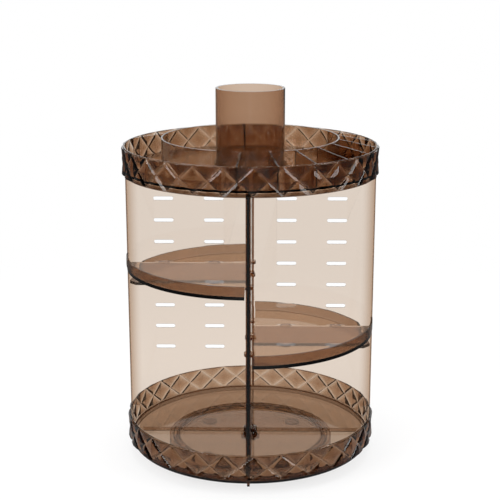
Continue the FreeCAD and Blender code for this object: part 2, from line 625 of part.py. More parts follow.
def build_tongue(name, along_x, sign, cross_sign, column, level):
    """One flat, round-ended tongue with a bead at its tip.

    along_x tells that the plate it hangs in is the panel, so that the tongue points along Y.
    """
    half_plate, gap = (PANEL_HALF, "dims.panel_gap") if along_x else (WEB_HALF, "dims.divider_gap")
    half = "(dims.tongue_width / 2)"
    root = f"({half_plate} + {gap} + dims.tongue_root)"
    tip = f"({half_plate} + dims.tongue_reach)"
    centre = f"{half} - {tip}"
    side = f"{'-' if cross_sign < 0 else ''}{column}"
    neck_run = f"({root} - ({centre}))"
    thick = "dims.tongue_thickness"
    neck_z = f"{level} - {thick} / 2"
    bead_z = f"{level} - dims.bead_thickness / 2"
    bead_run = f"(dims.tongue_reach - dims.bead_gap + {half})"
    bead_near = span(-sign, f"{half_plate} + dims.bead_gap", f"{half_plate} + dims.bead_gap + {bead_run}")
    middle = f"{'-' if sign < 0 else ''}({centre})"
    neck_near = span(sign, centre, root)
    if along_x:
        neck = box(f"{name}_neck", f"{side} - {half}", neck_near, neck_z, "dims.tongue_width", neck_run, thick)
        round_end = cylinder(f"{name}_end", half, thick, neck_z, side, middle)
        bead_disc = cylinder(f"{name}_bead_disc", half, "dims.bead_thickness", bead_z, side, middle)
        bead_side = box(f"{name}_bead_side", f"{side} - {half}", bead_near, bead_z, "dims.tongue_width", bead_run,
                        "dims.bead_thickness")
    else:
        neck = box(f"{name}_neck", neck_near, f"{side} - {half}", neck_z, neck_run, "dims.tongue_width", thick)
        round_end = cylinder(f"{name}_end", half, thick, neck_z, middle, side)
        bead_disc = cylinder(f"{name}_bead_disc", half, "dims.bead_thickness", bead_z, middle, side)
        bead_side = box(f"{name}_bead_side", bead_near, f"{side} - {half}", bead_z, bead_run, "dims.tongue_width",
                        "dims.bead_thickness")
    return [neck, round_end, common(f"{name}_bead", bead_disc, bead_side)]


def rear_tray_cutters(name, side, level):
    """Cutters that end a rear tray's rim in a round and clear the panel's rolled edge on the way out."""
    floor_top = f"({level} + dims.tray_floor_top)"
    height = "(dims.tray_rim_top - dims.tray_floor_top)"
    reach = "dims.tray_radius"
    block = box(f"{name}_rim_end_block", span(side, "dims.tray_radius / 2", reach), "0", floor_top,
                "dims.tray_radius / 2", f"dims.rim_end + {height}", f"{height} + 1")
    round_tool = bind(doc.addObject("Part::Cylinder", f"{name}_rim_end_round"), Radius=height,
                      Height="2 * dims.tray_radius", x="-dims.tray_radius", y=f"dims.rim_end + {height}",
                      z=floor_top)
    round_tool.Placement.Rotation = FreeCAD.Rotation(Vector(0, 1, 0), 90)
    rim_end = cut(f"{name}_rim_end", block, round_tool)
    corner_x = f"(dims.panel_flat + {PANEL_HALF} - dims.panel_thickness - dims.curl_gap * sqrt(2))"
    run = "dims.tray_radius"
    corner = box(f"{name}_corner_cut", f"{side} * {corner_x} - {run} / sqrt(2)",
                 f"-{side} * {run} / sqrt(2)", f"{level} - dims.tray_rim_drop - 1", run, f"2 * {run}",
                 "dims.tray_rim_top + dims.tray_rim_drop + 2")
    corner.Placement.Rotation = FreeCAD.Rotation(Vector(0, 0, 1), -45 if side > 0 else 225)
    return [rim_end, corner]


def build_quarter_tray(name, side, depth, row):
    """A quarter tray: floor, two-step curved rim and four tongues.

    side is -1 on the left and 1 on the right, depth -1 in front of the panel and 1 behind it.
    """
    level = row_level(row)
    bottom = f"({level} - dims.tray_rim_drop)"
    band_radius = "(dims.tray_radius - dims.tray_step)"
    inner_radius = "(dims.tray_radius - dims.tray_wall)"
    rim_height = "(dims.tray_rim_top + dims.tray_rim_drop)"
    band_height = "(dims.tray_rim_drop + dims.tray_band_top)"
    band = cylinder(f"{name}_band", band_radius, band_height, bottom)
    wall = cylinder(f"{name}_wall", "dims.tray_radius", f"{rim_height} - {band_height}",
                    f"{bottom} + {band_height}")
    hollow = cylinder(f"{name}_hollow", inner_radius, rim_height, f"{level} + dims.tray_floor_top")
    dish = cut(f"{name}_dish", fuse(f"{name}_disc", band, wall), hollow)
    near_x = f"({WEB_HALF} + dims.divider_gap)"
    near_y = f"({PANEL_HALF} + dims.panel_gap)"
    reach = "dims.tray_radius"
    quarter = box(f"{name}_quarter", span(side, near_x, reach), span(depth, near_y, reach), f"{bottom} - 1",
                  f"{reach} - {near_x}", f"{reach} - {near_y}", f"{rim_height} + 2")
    sector = common(f"{name}_sector", dish, quarter)
    if depth > 0:
        sector = cut(f"{name}_relieved", sector, *rear_tray_cutters(name, side, level))
    tongues = []
    for position in ("near", "far"):
        column = f"dims.column_{position}"
        tongues += build_tongue(f"{name}_panel_{position}", True, depth, side, column, level)
        tongues += build_tongue(f"{name}_web_{position}", False, side, depth, column, level)
    return fuse(name, sector, *tongues)


# ---- top fittings ----

def cell_angles():
    """Return the angles of the insert's walls from the front, in degrees."""
    cells = [value("cell_first") + number * value("cell_pitch") for number in range(count("cell_wall_count"))]
    return cells + [value("rear_wall_angle"), value("left_wall_angle")]


def wall_shape():
    """Return one radial wall along +X: it slopes from the ring's top down to the rim's top."""
    inner = value("insert_radius") - value("insert_wall") / 2
    outer = value("rim_radius") - value("rim_wall") - value("insert_gap")
    low = value("top_height") - value("top_floor_lift") - value("round_floor")
    high = low + value("insert_rise")
    half = value("insert_wall") / 2
    profile = [Vector(inner, -half, 0), Vector(outer, -half, 0), Vector(outer, -half, low),
               Vector(inner, -half, high)]
    face = Part.Face(Part.makePolygon(profile + [profile[0]]))
    return face.extrude(Vector(0, 2 * half, 0))


def build_insert():
    """The insert of the top tray: a tall ring with radial walls that part lipstick cells."""
    height = "(dims.top_height - dims.top_floor_lift - dims.round_floor + dims.insert_rise)"
    hoop = ring("insert_ring", "dims.insert_radius", "(dims.insert_radius - dims.insert_wall)", height,
                TOP_FLOOR_TOP)
    walls = []
    for number, angle in enumerate(cell_angles(), start=1):
        wall = doc.addObject("Part::Feature", f"insert_wall_{number}")
        wall.Shape = wall_shape()
        wall.Placement.Rotation = FreeCAD.Rotation(Vector(0, 0, 1), bearing(angle))
        walls.append(bind(wall, z=TOP_FLOOR_TOP))
    return fuse("organizer_insert", hoop, *walls)


def build_cup():
    """The loose brush cup that stands in the collar."""
    outside = cylinder("cup_outside", "dims.cup_radius", "dims.cup_height", TOP_FLOOR_TOP)
    inside = cylinder("cup_inside", "dims.cup_radius - dims.cup_wall", "dims.cup_height",
                      f"{TOP_FLOOR_TOP} + dims.cup_floor")
    return cut("brush_cup", outside, inside)


# ---- assembly ----

def check_objects():
    """Stop if any object of the document failed to compute."""
    failed = [item.Name for item in doc.Objects if {"Invalid", "Error"} & set(item.State)]
    if failed:
        raise RuntimeError(f"objects that failed: {failed}")


def export(nodes):
    """Write each sub-part's shape to parts/NODE.step."""
    os.makedirs("parts", exist_ok=True)
    for node in nodes:
        shape = node.Shape
        if shape.isNull() or not shape.isValid():
            raise RuntimeError(f"bad shape: {node.Name}")
        node.Label = node.Name
        shape.exportStep(f"parts/{node.Name}.step")
        print(f"{node.Name}: {len(shape.Solids)} solids, {shape.Volume:.0f} mm3, {len(shape.Faces)} faces")


def main():
    """Build every sub-part, check it and write it."""
    nodes = [build_base_plate(), *build_feet(), build_ball_cage(), build_balls(), build_upper_race(),
             *build_pivot(), build_bottom_tray(), build_panel(), build_divider()]
    quarters = (("front_left_tray", -1, -1, 4), ("rear_left_tray", -1, 1, 5), ("front_right_tray", 1, -1, 7),
                ("rear_right_tray", 1, 1, 8))
    nodes += [build_quarter_tray(*quarter) for quarter in quarters]
    nodes += [build_top_tray(), build_insert(), build_cup()]
    doc.recompute()
    check_objects()
    export(nodes)


main()
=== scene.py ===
"""Looks of a rotating makeup organizer made of smoke-brown clear plastic.

Two diamond-rimmed round trays, a slotted panel and a divider between them, four hanging quarter trays, an insert
with lipstick cells, a brush cup, and a ball turntable underneath.  Everything is in metres, +Z up, -Y to the front.
"""
from __future__ import annotations

import logging
import math
from dataclasses import dataclass, field
from enum import Enum
from typing import Any

import bpy
import numpy as np
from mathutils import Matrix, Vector


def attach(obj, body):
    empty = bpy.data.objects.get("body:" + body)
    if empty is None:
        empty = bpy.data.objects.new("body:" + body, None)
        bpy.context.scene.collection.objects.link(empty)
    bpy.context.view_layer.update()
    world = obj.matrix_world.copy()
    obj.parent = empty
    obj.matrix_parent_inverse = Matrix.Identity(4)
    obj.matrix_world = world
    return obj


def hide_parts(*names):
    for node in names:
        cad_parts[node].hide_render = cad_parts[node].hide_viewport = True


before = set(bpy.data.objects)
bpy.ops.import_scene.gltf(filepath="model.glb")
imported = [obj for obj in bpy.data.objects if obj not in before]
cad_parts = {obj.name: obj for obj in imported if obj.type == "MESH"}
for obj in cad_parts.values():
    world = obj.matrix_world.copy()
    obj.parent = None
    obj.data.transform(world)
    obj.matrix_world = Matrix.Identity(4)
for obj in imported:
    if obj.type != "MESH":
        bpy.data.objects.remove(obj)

LOG = logging.getLogger("organizer")
MM = 0.001
AIR = 0.03 * MM  # what each clear skin draws back, so that air lies between two pieces
WELD_REACH = 0.002 * MM  # points nearer than this are one
ROUNDED_FROM = math.radians(28)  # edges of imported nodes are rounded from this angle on
SMOOTH_BELOW = math.radians(35)  # and shaded smooth below this one
SHARP_FROM = math.radians(50)  # edges of new meshes are shaded sharp from this angle on
FLAT_WEIGHT = 100  # how far large faces rule the shading of rounded edges
CUT_SPARE = 1.0  # how far a cutting block stands out of what it cuts, in millimetres
WHITE = (1.0, 1.0, 1.0, 1.0)


# ---- shader maths ----

@dataclass(frozen=True)
class Number:
    """A number that varies over a surface; arithmetic on it adds Math nodes."""

    tree: "ShaderTree"
    socket: bpy.types.NodeSocket

    def _math(self, operation: str, first: Any, second: Any) -> "Number":
        """Add one Math node.

        Args:
            operation: The Math node's operation.
            first: Its first value or socket.
            second: Its second value or socket.

        Returns:
            The node's result.
        """
        node = self.tree.node("ShaderNodeMath", {"operation": operation}, {0: first, 1: second})
        return Number(self.tree, node.outputs[0])

    def __add__(self, other: Any) -> "Number":
        """Return the sum."""
        return self._math("ADD", self, other)

    __radd__ = __add__

    def __mul__(self, other: Any) -> "Number":
        """Return the product."""
        return self._math("MULTIPLY", self, other)

    __rmul__ = __mul__

    def __sub__(self, other: Any) -> "Number":
        """Return the difference."""
        return self._math("SUBTRACT", self, other)

    def __rsub__(self, other: Any) -> "Number":
        """Return the difference the other way round."""
        return self._math("SUBTRACT", other, self)


class ShaderTree:
    """The node tree of one material, emptied and ready for its own nodes."""

    def __init__(self, owner: str | bpy.types.World) -> None:
        """Make the material, or take the world, and give it an output.

        Args:
            owner: The material's name, or a world.
        """
        self.material = bpy.data.materials.new(owner) if isinstance(owner, str) else owner
        self.material.use_nodes = True
        self.nodes = self.material.node_tree.nodes
        self.links = self.material.node_tree.links
        self.nodes.clear()
        self.output = self.node("ShaderNodeOutputMaterial" if isinstance(owner, str) else "ShaderNodeOutputWorld")

    def node(self, kind: str, settings: dict[str, Any] | None = None,
             inputs: dict[str | int, Any] | None = None) -> bpy.types.Node:
        """Add any node.

        Args:
            kind: The node's type.
            settings: Properties, which are set before the sockets.
            inputs: Numbers, colours, Numbers or sockets by input name or index.

        Returns:
            The new node.
        """
        made = self.nodes.new(kind)
        for key, setting in (settings or {}).items():
            setattr(made, key, setting)
        for key, given in (inputs or {}).items():
            target = made.inputs[key]
            source = given.socket if isinstance(given, Number) else given
            if isinstance(source, bpy.types.NodeSocket):
                self.links.new(source, target)
            else:
                target.default_value = source
        return made

    def place(self) -> bpy.types.NodeSocket:
        """Return the place on the object, in metres."""
        return self.node("ShaderNodeTexCoord").outputs["Object"]

    def noise(self, scale: float, detail: float = 2.0, roughness: float = 0.5) -> Number:
        """Return a soft noise from 0 to 1 over the object.

        Args:
            scale: Spots per metre.
            detail: How many finer layers it has.
            roughness: How strong those layers are.

        Returns:
            The noise.
        """
        made = self.node("ShaderNodeTexNoise", {"noise_dimensions": "3D"},
                         {"Vector": self.place(), "Scale": scale, "Detail": detail, "Roughness": roughness})
        return Number(self, made.outputs["Fac"])

    def ramp(self, value: Any, start: float, end: float, low: float = 0.0, high: float = 1.0) -> Number:
        """Return a number that goes softly from low to high while a value goes from start to end."""
        made = self.node("ShaderNodeMapRange", {"interpolation_type": "SMOOTHSTEP"}, {
            "Value": value, "From Min": start, "From Max": end, "To Min": low, "To Max": high})
        return Number(self, made.outputs[0])

    def reach(self, vector: Any, across: tuple[float, float, float]) -> bpy.types.NodeSocket:
        """Return a vector's length after its parts are multiplied by those of another."""
        flat = self.node("ShaderNodeVectorMath", {"operation": "MULTIPLY"}, {0: vector, 1: across})
        return self.node("ShaderNodeVectorMath", {"operation": "LENGTH"}, {0: flat.outputs[0]}).outputs["Value"]

    def bump(self, height: Number, strength: float, distance: float) -> bpy.types.NodeSocket:
        """Return the normal of a raised surface.

        Args:
            height: The height, from 0 to 1.
            strength: How much of it shows.
            distance: What a height of 1 stands for, in metres.

        Returns:
            The bumped normal.
        """
        return self.node("ShaderNodeBump", {}, {"Height": height, "Strength": strength,
                                                "Distance": distance}).outputs["Normal"]

    def surface(self, shader: bpy.types.Node) -> None:
        """Send a shader to the output's surface."""
        self.links.new(shader.outputs[0], self.output.inputs["Surface"])

    def volume(self, shader: bpy.types.Node) -> None:
        """Send a shader to the output's volume."""
        self.links.new(shader.outputs[0], self.output.inputs["Volume"])


# ---- finishes ----

SMOKE_TINT = (0.50, 0.25, 0.0)


@dataclass(frozen=True)
class PaintedShade:
    """Painted shade: a darker tint in a skin's colour that stands for the light swallowed where the plastic is thick
    or curved or seen at a graze; it deepens away from the axis, from one distance to another, and may end at a third.

    The distance is the length of a place's parts times across, so it may run along one axis only. A start that lies
    past the end deepens the tint towards the axis.
    """

    # colour of the painted shade where it is deepest
    tint: tuple[float, float, float]
    start: float
    end: float
    across: tuple[float, float, float] = (1.0, 1.0, 0.0)
    last: float | None = None
    fade: float = 0.5 * MM

    def colour(self, tree: ShaderTree, under: Any) -> bpy.types.NodeSocket:
        """Return the painted shade's tint where it is deep, and another colour near the axis.

        Args:
            tree: The material's tree.
            under: The colour near the axis.

        Returns:
            The colour's socket.
        """
        distance = tree.reach(tree.place(), self.across)
        share = tree.ramp(distance, self.start, self.end)
        if self.last:
            share = share * tree.ramp(distance, self.last, self.last + self.fade, 1.0, 0.0)
        blend = tree.node("ShaderNodeMix", {"data_type": "RGBA"}, {
            0: share, 6: under, 7: (*self.tint, 1.0)})
        return blend.outputs[2]


@dataclass(frozen=True)
class SmokePlastic:
    """Clear polystyrene with a smoke-brown dye: what it swallows grows with its thickness.

    Its gloss is broken by marks of handling, and its faces are moulded with faint waves.
    """

    name: str
    slot: str
    density: float = 600.0
    tint: tuple[float, float, float] = SMOKE_TINT
    roughness: float = 0.015
    handling: float = 0.03
    handling_scale: float = 38.0
    waviness: float = 0.02
    wave_scale: float = 22.0
    wave_depth: float = 4.0 * MM
    refraction: float = 1.49
    # painted shade laid into the base colour
    painted_shades: tuple[PaintedShade, ...] = ()
    clear: bool = True

    def material(self) -> bpy.types.Material:
        """Return the material: clear gloss with faint moulding waves and handling marks over a dyed body, with
        painted shade laid into its base colour.
        """
        tree = ShaderTree(self.name)
        marks = tree.noise(self.handling_scale, 4.0, 0.6)
        waves = tree.noise(self.wave_scale, 1.0)
        colour: Any = WHITE
        # each painted shade darkens the base colour where it lies
        for painted_shade in self.painted_shades:
            colour = painted_shade.colour(tree, colour)
        shader = tree.node("ShaderNodeBsdfPrincipled", {}, {
            "Base Color": colour,
            "Roughness": marks * self.handling + self.roughness,
            "IOR": self.refraction,
            "Transmission Weight": 1.0,
            "Normal": tree.bump(waves, self.waviness, self.wave_depth),
        })
        tree.surface(shader)
        tree.volume(tree.node("ShaderNodeVolumeAbsorption", {}, {"Color": (*self.tint, 1.0),
                                                                 "Density": self.density}))
        return tree.material


@dataclass(frozen=True)
class SolidFinish:
    """An opaque moulded or metal surface with its grain."""

    name: str
    slot: str
    colour: tuple[float, float, float]
    roughness: float
    metallic: float = 0.0
    grain_scale: float = 900.0
    grain_depth: float = 0.04 * MM
    grain_strength: float = 0.5
    smear_scale: float = 45.0
    smear: float = 0.16
    clear: bool = False

    def material(self) -> bpy.types.Material:
        """Return the material: an even colour, uneven gloss and a fine grain."""
        tree = ShaderTree(self.name)
        grain = tree.noise(self.grain_scale, 3.0, 0.6)
        smears = tree.noise(self.smear_scale, 3.0, 0.6)
        shader = tree.node("ShaderNodeBsdfPrincipled", {}, {
            "Base Color": (*self.colour, 1.0),
            "Roughness": smears * self.smear + (self.roughness - self.smear / 2),
            "Metallic": self.metallic,
            "Normal": tree.bump(grain, self.grain_strength, self.grain_depth),
        })
        tree.surface(shader)
        return tree.material


class Finish(Enum):
    """The finishes of the organizer."""

    # painted shade: a darker ring over the foot ring, for the light its thick plastic swallows
    TRAY = SmokePlastic("smoke_tray_plastic", "smoke_tray", painted_shades=(
        PaintedShade((0.40, 0.34, 0.30), 0.1097, 0.1102, last=0.1122),))
    # painted shade: darker towards the panel's left and right edges, for the light its rolled edges swallow
    PANEL = SmokePlastic("clear_panel_plastic", "clear_panel", waviness=0.01, painted_shades=(
        PaintedShade((0.70, 0.60, 0.52), 0.1015, 0.1152, (1.0, 0.0, 0.0)),))
    DIVIDER = SmokePlastic("smoke_divider_plastic", "smoke_divider", density=800.0)
    # painted shade: a darker rim, and darker tips to the left and right, where thick corners and grazing views
    # swallow light
    SHELF = SmokePlastic("smoke_shelf_plastic", "smoke_shelf", 350.0, (0.57, 0.29, 0.0), painted_shades=(
        PaintedShade((0.56, 0.45, 0.38), 0.1118, 0.1123),
        PaintedShade((0.22, 0.17, 0.14), 0.1030, 0.1070, (1.0, 0.0, 0.0))))
    # painted shade: darker below the floor's underside, over the rim's low band
    TOP = SmokePlastic("smoke_top_plastic", "smoke_top", painted_shades=(
        PaintedShade((0.36, 0.30, 0.26), 0.2684, 0.2679, (0.0, 0.0, 1.0)),))
    INSERT = SmokePlastic("smoke_insert_plastic", "smoke_insert")
    CUP = SmokePlastic("smoke_cup_plastic", "smoke_cup", 470.0, (0.52, 0.25, 0.0))
    BASE = SmokePlastic("smoke_base_plastic", "base_plastic", density=160.0)
    RACE = SmokePlastic("smoke_race_plastic", "race_plastic", density=160.0)
    CAGE = SolidFinish("cage_nylon", "cage_plastic", (0.62, 0.60, 0.55), 0.45)
    BALLS = SolidFinish("ball_steel", "ball_steel", (0.62, 0.62, 0.63), 0.18, metallic=1.0)
    SCREW = SolidFinish("screw_steel", "screw_steel", (0.50, 0.50, 0.50), 0.34, metallic=1.0)
    RUBBER = SmokePlastic("foot_rubber", "foot_rubber", density=120.0, roughness=0.3)


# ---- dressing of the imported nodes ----

@dataclass(frozen=True)
class Dress:
    """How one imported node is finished: its material and the softness of its edges."""

    node: str
    finish: Finish
    edge: float = 0.25 * MM

    def apply(self, materials: dict[Finish, bpy.types.Material]) -> None:
        """Give the node its material, and join, round and smooth its faces by modifiers.

        Args:
            materials: The made materials by finish.
        """
        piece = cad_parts[self.node]
        piece.data.materials.clear()
        piece.data.materials.append(materials[self.finish])
        weld = piece.modifiers.new("join", "WELD")
        weld.merge_threshold = WELD_REACH
        if self.edge:
            soft = piece.modifiers.new("soft_edges", "BEVEL")
            soft.width = self.edge
            soft.segments = 2
            soft.limit_method = "ANGLE"
            soft.angle_limit = ROUNDED_FROM
        if self.finish.value.clear:
            draw_back(piece)
        smooth = piece.modifiers.new("smooth", "NODES")
        smooth.node_group = smooth_group()
        even_faces(piece)


def draw_back(piece: bpy.types.Object) -> None:
    """Draw a piece's skin back by half the air between two clear pieces."""
    skin = piece.modifiers.new("thin_air", "DISPLACE")
    skin.strength, skin.mid_level = -AIR, 0.0


def even_faces(piece: bpy.types.Object) -> None:
    """Let a piece's large faces shade flat between their rounded edges."""
    level = piece.modifiers.new("even_faces", "WEIGHTED_NORMAL")
    level.weight, level.keep_sharp = FLAT_WEIGHT, True


def smooth_group() -> bpy.types.GeometryNodeTree:
    """Return the geometry nodes that shade a mesh smooth except at its sharp edges."""
    name = "smooth_by_angle"
    if name in bpy.data.node_groups:
        return bpy.data.node_groups[name]
    group = bpy.data.node_groups.new(name, "GeometryNodeTree")
    group.interface.new_socket("Geometry", in_out="INPUT", socket_type="NodeSocketGeometry")
    group.interface.new_socket("Geometry", in_out="OUTPUT", socket_type="NodeSocketGeometry")
    entry = group.nodes.new("NodeGroupInput")
    leave = group.nodes.new("NodeGroupOutput")
    angle = group.nodes.new("GeometryNodeInputMeshEdgeAngle")
    gentle = group.nodes.new("FunctionNodeCompare")
    gentle.operation = "LESS_THAN"
    gentle.inputs["B"].default_value = SMOOTH_BELOW
    faces = group.nodes.new("GeometryNodeSetShadeSmooth")
    edges = group.nodes.new("GeometryNodeSetShadeSmooth")
    edges.domain = "EDGE"
    group.links.new(entry.outputs[0], faces.inputs["Geometry"])
    group.links.new(faces.outputs[0], edges.inputs["Geometry"])
    group.links.new(angle.outputs["Unsigned Angle"], gentle.inputs["A"])
    group.links.new(gentle.outputs[0], edges.inputs["Shade Smooth"])
    group.links.new(edges.outputs[0], leave.inputs[0])
    return group


# ---- shapes worked out as whole arrays ----

class Skin:
    """A closed skin laid ring by ring about the axis: from the foot of the axis outwards, up, and back to it."""

    def __init__(self) -> None:
        """Start with no points."""
        self.points: list[np.ndarray] = []
        self.faces: list[list[int]] = []
        self.soft: list[np.ndarray] = []
        self.last: np.ndarray | None = None

    def lay(self, ring: np.ndarray, soft: float = 0.0) -> np.ndarray:
        """Add a closed ring of points and remember it as the last one.

        Args:
            ring: Points, one row each.
            soft: How much its edges are rounded, as a share of the skin's rounding.

        Returns:
            The points' numbers.
        """
        start = sum(len(points) for points in self.points)
        self.points.append(ring)
        self.last = np.arange(start, start + len(ring))
        self.soften(self.last, np.roll(self.last, -1), soft)
        return self.last

    def soften(self, first: np.ndarray, other: np.ndarray, soft: float) -> None:
        """Remember how much the edges between pairs of points are rounded."""
        if soft:
            self.soft.append(np.column_stack((first.ravel(), other.ravel(), np.full(first.size, soft))))

    def pole(self, level: float) -> None:
        """Add a point on the axis and join it to the last ring."""
        self.join(self.last, self.lay(np.array([[0.0, 0.0, level]])))

    def circle(self, radius: float, level: float, angles: np.ndarray, soft: float = 0.0) -> None:
        """Add a circle, x = r cos a and y = r sin a over some angles a, and join it to the last ring.

        Args:
            radius: Its radius.
            level: Its height.
            angles: The angles of its points.
            soft: How much its edges are rounded.
        """
        ring = np.column_stack((radius * np.cos(angles), radius * np.sin(angles), np.full(len(angles), level)))
        self.join(self.last, self.lay(ring, soft))

    def join(self, inner: np.ndarray | None, outer: np.ndarray) -> None:
        """Join two rings: with quads, with triangles at a pole, or with many-sided faces where one is coarser.

        Args:
            inner: The ring laid first, or None.
            outer: The ring laid after it.
        """
        if inner is None:
            return
        steps = min(len(inner), len(outer))
        if steps == 1:
            ring = np.append(inner, inner[0]) if len(inner) > 1 else np.append(outer, outer[0])
            pole = np.full(len(ring) - 1, outer[0] if len(outer) == 1 else inner[0])
            pair = (ring[:-1], ring[1:], pole) if len(outer) == 1 else (pole, ring[1:], ring[:-1])
            self.faces += np.column_stack(pair).tolist()
            return
        runs = []
        for ring in (inner, outer):
            share = len(ring) // steps
            closed = np.append(ring, ring[0])
            runs.append(closed[np.arange(steps)[:, None] * share + np.arange(share + 1)])
        self.faces += np.hstack((runs[0], runs[1][:, ::-1])).tolist()

    def ladder(self, left: np.ndarray, right: np.ndarray) -> None:
        """Fill the triangles between two rows of lines that meet in their last points, one quad a step.

        Args:
            left: Point numbers, one line a row.
            right: The lines opposite them.
        """
        for step in range(left.shape[1] - 2):
            quads = (left[:, step], left[:, step + 1], right[:, step + 1], right[:, step])
            self.faces += np.column_stack(quads).tolist()
        self.faces += np.column_stack((left[:, -2], left[:, -1], right[:, -2])).tolist()

    def mesh(self, name: str) -> bpy.types.Mesh:
        """Return the mesh of all its points and faces, with the rounding on its edges.

        Args:
            name: The mesh's name.

        Returns:
            The mesh.
        """
        made = bpy.data.meshes.new(name)
        points = np.concatenate(self.points) * MM
        made.from_pydata(points.tolist(), [], self.faces)
        marked = np.concatenate(self.soft)
        ends = np.sort(marked[:, :2].astype(np.int64), axis=1)
        keys = ends[:, 0] * len(points) + ends[:, 1]
        order = np.argsort(keys)
        edges = np.empty(2 * len(made.edges), dtype=np.int32)
        made.edges.foreach_get("vertices", edges)
        edges = np.sort(edges.reshape(-1, 2).astype(np.int64), axis=1)
        own = edges[:, 0] * len(points) + edges[:, 1]
        found = np.minimum(np.searchsorted(keys[order], own), len(keys) - 1)
        weight = np.where(keys[order][found] == own, marked[order][found, 2], 0.0)
        made.attributes.new("bevel_weight_edge", "FLOAT", "EDGE").data.foreach_set("value", weight.astype(np.float32))
        return made


@dataclass(frozen=True)
class DiamondBand:
    """A row of diamonds round a rim, between two levels, with half diamonds over and under each crossing.

    The rim is a lattice of 3 rows and 2 columns a diamond, in which valley corners and diamond points take turns.
    Out from a valley line the surface climbs steeply at first and then gently to the diamond's point: the share of
    the rise is a function of the share of the way.
    """

    foot: float
    top: float
    valley: float = 114.45
    rise: float = 1.95
    diamonds: int = 28
    first: float = math.radians(-88.0)
    way: tuple[float, ...] = (0.06, 0.14, 0.24, 0.4)
    climb: tuple[float, ...] = (0.13, 0.34, 0.52, 0.68)
    ridge_soft: float = 0.3
    valley_soft: float = 0.5
    edge_soft: float = 0.2

    @property
    def columns(self) -> int:
        """Return the number of columns of the lattice."""
        return 2 * self.diamonds

    def shares(self, rising: np.ndarray) -> tuple[np.ndarray, np.ndarray]:
        """Return where the points between two corners lie, and how high, for lines that rise or fall.

        Args:
            rising: For each line, whether it goes from a valley to a diamond's point.

        Returns:
            Shares of the way and shares of the rise, one line a row.
        """
        way, climb = np.array(self.way), np.array(self.climb)
        picked = rising[:, None]
        return np.where(picked, way, 1 - way[::-1]), np.where(picked, climb, climb[::-1])

    def angles(self, fine: bool = True, valley: int = 0) -> np.ndarray:
        """Return the angles of a row of the band, or only those of its corners.

        Args:
            fine: Whether the points between the corners are wanted.
            valley: 0 for a row whose first corner is a valley, as on the band's edges, and 1 for the others.

        Returns:
            The angles.
        """
        turn = np.arange(self.columns)
        if fine:
            way, _ = self.shares(turn % 2 == valley)
            turn = (turn[:, None] + np.column_stack((np.zeros(self.columns), way))).ravel()
        return self.first + turn * (math.pi / self.diamonds)

    def lay(self, skin: Skin) -> None:
        """Lay the rows and uprights of the lattice, x = r cos a and y = r sin a with r = valley + rise * share.

        Args:
            skin: The skin that the band is laid on.
        """
        before, columns = skin.last, self.columns
        turn = np.arange(columns)
        coarse = self.angles(fine=False)
        levels = np.linspace(self.foot, self.top, 3)
        rows, uprights = [], []
        for row in range(3):
            peak = turn % 2 == (0 if row == 1 else 1)
            climb = np.column_stack((peak, self.shares(~peak)[1])).ravel()
            radius, fine = self.valley + self.rise * climb, self.angles(valley=row % 2)
            rows.append(skin.lay(np.column_stack((radius * np.cos(fine), radius * np.sin(fine),
                                                  np.full(len(fine), levels[row]))),
                                 self.ridge_soft if row == 1 else self.edge_soft).reshape(columns, -1))
        for row in range(2):
            way, climb = self.shares(turn % 2 == row)
            radius = self.valley + self.rise * climb
            level = levels[row] + (levels[row + 1] - levels[row]) * way
            angle = np.broadcast_to(coarse[:, None], way.shape)
            uprights.append(skin.lay(np.stack((radius * np.cos(angle), radius * np.sin(angle), level),
                                              axis=2).reshape(-1, 3)).reshape(columns, -1))
        for row in range(2):
            self.fill(skin, rows[row], rows[row + 1], uprights[row], turn % 2 == row)
        skin.last = rows[2].ravel()
        skin.join(before, rows[0].ravel())

    def fill(self, skin: Skin, low: np.ndarray, high: np.ndarray, upright: np.ndarray, valley: np.ndarray) -> None:
        """Fill a row of cells, two facets each, on either side of the valley line across the cell.

        Args:
            skin: The skin that the facets belong to.
            low: The lower row's points by column.
            high: The upper row's points by column.
            upright: The points between them by column.
            valley: Whether each cell's lower left corner is a valley.
        """
        a, d = low[:, :1], high[:, :1]
        b, c, right = (np.roll(points, -1, axis=0) for points in (a, d, upright))
        below, above, left = low[:, 1:], high[:, 1:], upright
        up = np.hstack((a, left, d))
        skin.soften(up[:, :-1], up[:, 1:], self.ridge_soft)
        skin.soften(np.where(valley, a[:, 0], b[:, 0]), np.where(valley, c[:, 0], d[:, 0]), self.valley_soft)
        skin.ladder(np.hstack((a, below, b))[valley], np.hstack((c, right[:, ::-1], b))[valley])
        skin.ladder(np.hstack((c, above[:, ::-1], d))[valley], np.hstack((a, left, d))[valley])
        skin.ladder(np.hstack((d, left[:, ::-1], a))[~valley], np.hstack((b, below[:, ::-1], a))[~valley])
        skin.ladder(np.hstack((b, right, c))[~valley], np.hstack((d, above, c))[~valley])


